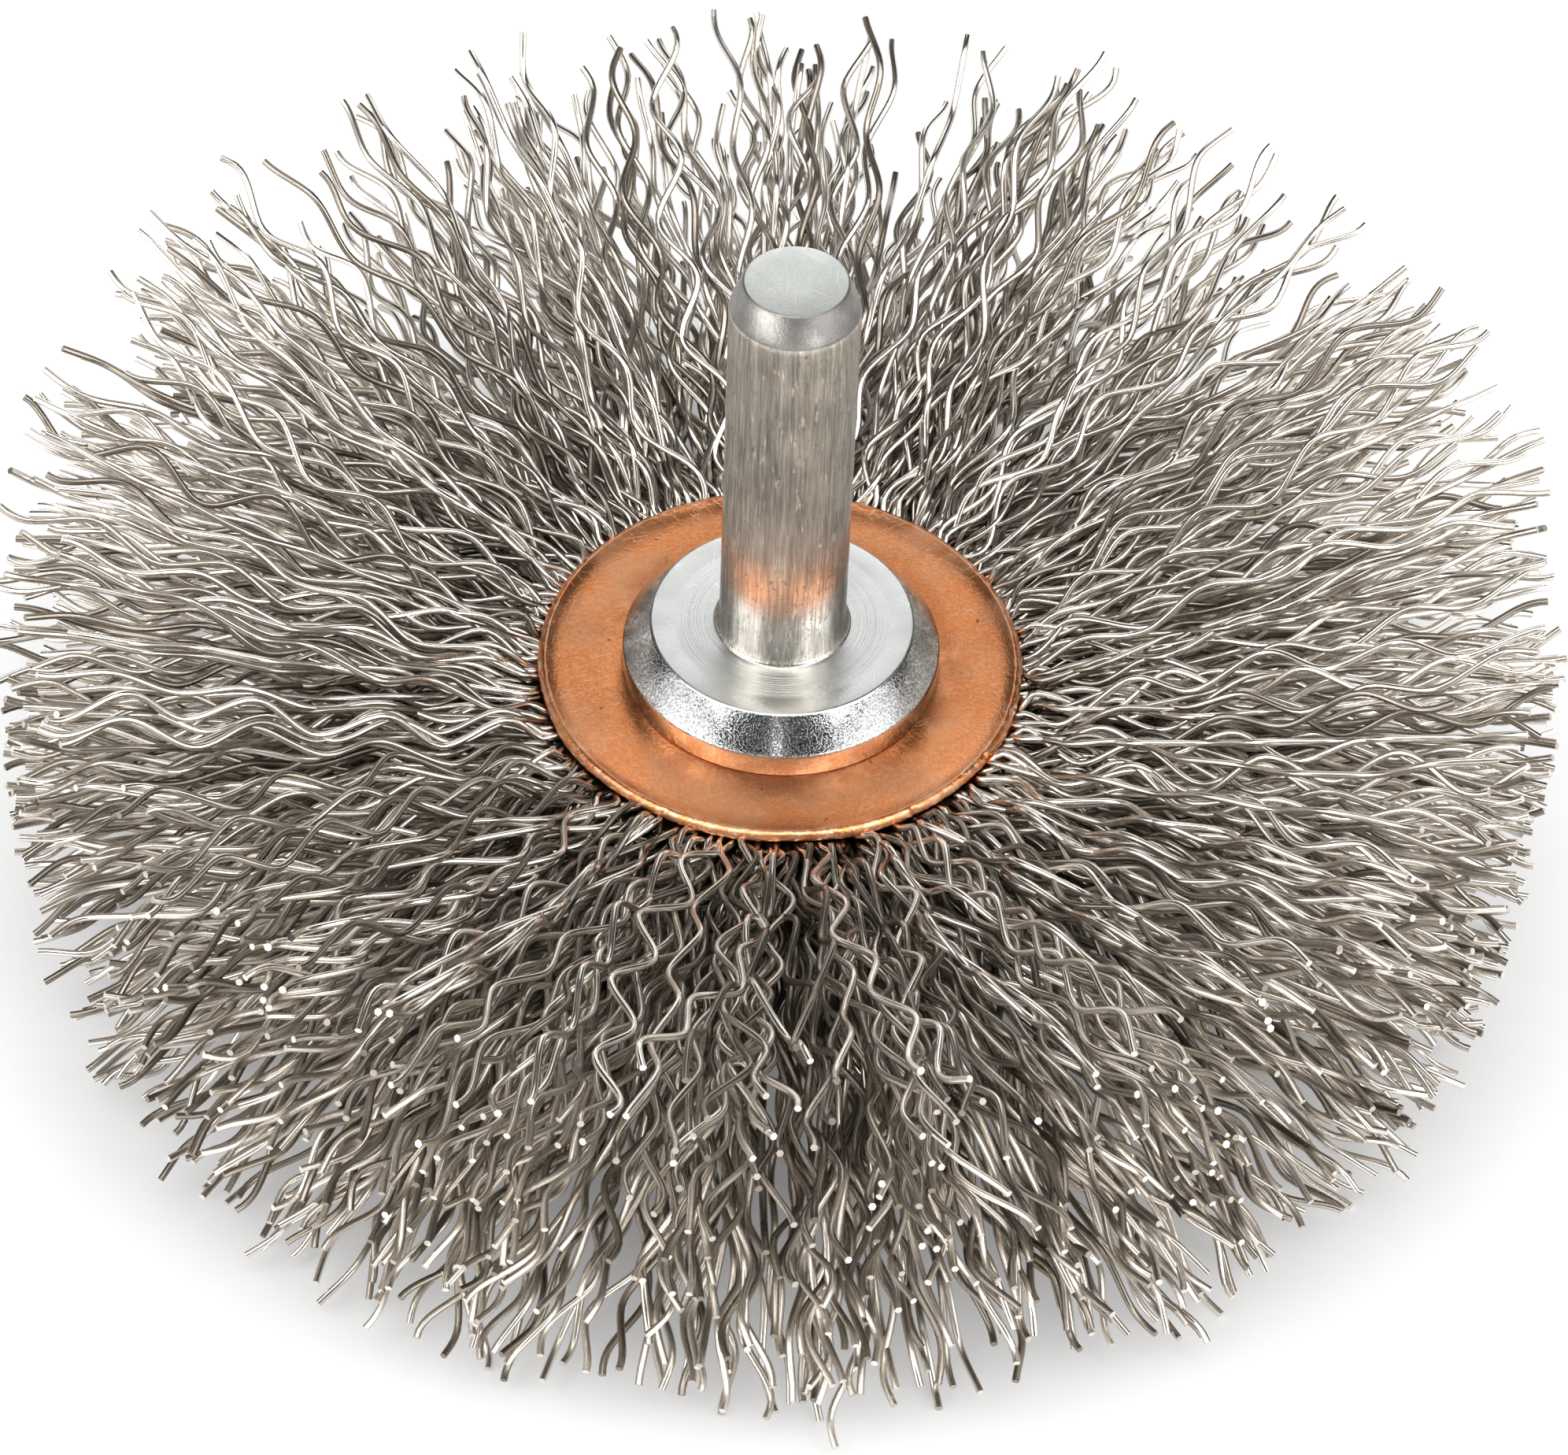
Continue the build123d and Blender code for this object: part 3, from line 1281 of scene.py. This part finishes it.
@dataclass
class Studio:
    """White table, softboxes and a room that is white at the horizon and dark above it.

    The floor's lift is small beneath the brush, which paints a shadow under it, and grows to white
    far away from it. Its reaches are metres from the axis.
    """

    floor_size: float = 4.0
    floor_colour: float = 0.44
    floor_roughness: float = 0.9
    under_brush_shadow_lift: float = 0.12
    lift_round: float = 0.48
    lift_far: float = 0.36
    round_reach: tuple[float, float] = (0.020, 0.048)
    far_reach: tuple[float, float] = (0.10, 0.85)
    horizon: float = 1.0
    ceiling: float = 0.05
    horizon_top: float = 4.0
    ceiling_from: float = 12.0
    softboxes: tuple[Softbox, ...] = (
        Softbox("left_low_box", -65, 22, 0.43, 0.14, 1.35),
        Softbox("right_low_box", 65, 22, 0.43, 0.14, 1.35),
        Softbox("left_box", -65, 49, 0.30, 0.19, 4.1),
        Softbox("right_box", 65, 49, 0.30, 0.19, 4.1),
        Softbox("left_table_box", -50, 12, 0.42, 0.15, 5.4),
        Softbox("right_table_box", 50, 12, 0.42, 0.15, 5.4),
        Softbox("front_strip", 0, 33, 0.05, 0.16, 1.5),
        Softbox("back_box", 180, 46, 0.28, 0.22, 1.1),
        Softbox("back_low_box", 180, 20, 0.28, 0.24, 1.3),
        Softbox("top_box", 0, 75, 0.45, 0.20, 4.1),
    )

    def build(self) -> None:
        """Build the floor, the room and the lamps."""
        self._floor()
        self._room()
        for softbox in self.softboxes:
            softbox.hang()
        bpy.context.scene.view_settings.view_transform = "Standard"

    def _floor(self) -> None:
        """Lay a white floor that keeps the shadow, with a painted shadow beneath the brush, and
        lifts the rest to white.
        """
        deselect_all()
        bpy.ops.mesh.primitive_plane_add(size=self.floor_size, location=(0, 0, 0))
        floor = bpy.context.active_object
        floor.name = "floor"
        coat = Coat("white_table")
        for key, value in {
            "Base Color": (*(self.floor_colour,) * 3, 1.0),
            "Roughness": self.floor_roughness,
            "Specular IOR Level": 0.0,
            "Emission Color": (1.0, 1.0, 1.0, 1.0),
        }.items():
            coat.feed(coat.shader[key], value)
        path = coat.add("ShaderNodeLightPath").outputs
        seen = coat.math("MAXIMUM", path["Is Camera Ray"], path["Is Glossy Ray"])
        seen = coat.math("MAXIMUM", seen, path["Is Transmission Ray"])
        length = coat.add("ShaderNodeVectorMath", {0: coat.place}, operation="LENGTH")
        # Painted shadow: the lift is smallest beneath the brush, so the floor is darker there.
        lift = self.under_brush_shadow_lift
        for reach, more in ((self.round_reach, self.lift_round), (self.far_reach, self.lift_far)):
            span = coat.span(length.outputs["Value"], *reach)
            lift = coat.math("ADD", coat.part(span, more), lift)
        coat.feed(coat.shader["Emission Strength"], coat.part(seen, lift))
        floor.data.materials.append(coat.material)

    def _room(self) -> None:
        """Light the room: white up to a low height all round, and dark above."""
        world = bpy.data.worlds.new("pale_room")
        bpy.context.scene.world = world
        world.use_nodes = True
        sheet = Sheet(world.node_tree)
        place = sheet.add("ShaderNodeTexCoord").outputs["Generated"]
        height = sheet.add("ShaderNodeSeparateXYZ", {0: place}).outputs["Z"]
        low, high = (math.sin(math.radians(a)) for a in (self.horizon_top, self.ceiling_from))
        share = sheet.span(height, low, high)
        room = sheet.mix(share, (self.horizon,) * 3, (self.ceiling,) * 3)
        sheet.feed(world.node_tree.nodes["Background"].inputs["Color"], room)


# ---- the brush


def main() -> None:
    """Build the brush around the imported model."""
    logging.basicConfig(level=logging.INFO, format="%(name)s %(message)s")
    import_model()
    levels = Levels.from_frame()
    Camera(levels).place()
    palette = Palette()

    spindle = Spindle(levels)
    turned = spindle.model()
    spindle.dress(turned, palette)
    hand_over(turned, "spindle")

    for name, node, front in (
        ("pressed_front_disc", "front_cover_disc", True),
        ("pressed_back_disc", "back_cover_disc", False),
    ):
        disc = CoverDisc(levels).model(name, front)
        disc.data.materials.append(palette.copper)
        hand_over(disc, node)

    washer = RivetWasher(levels).model()
    washer.data.materials.append(palette.plain)
    hand_over(washer, "rivet_washer")

    for node in ("hub_bush", "core_ring"):
        slots = bpy.data.objects[node].data.materials
        slots.clear()
        slots.append(palette.plain)

    wheel = WireWheel(levels)
    for tuft in range(wheel.tufts):
        piece = wheel.model(tuft, palette)
        hand_over(piece, f"wire_tuft_{tuft + 1:02d}")

    Studio().build()


if __name__ == "__main__":
    main()
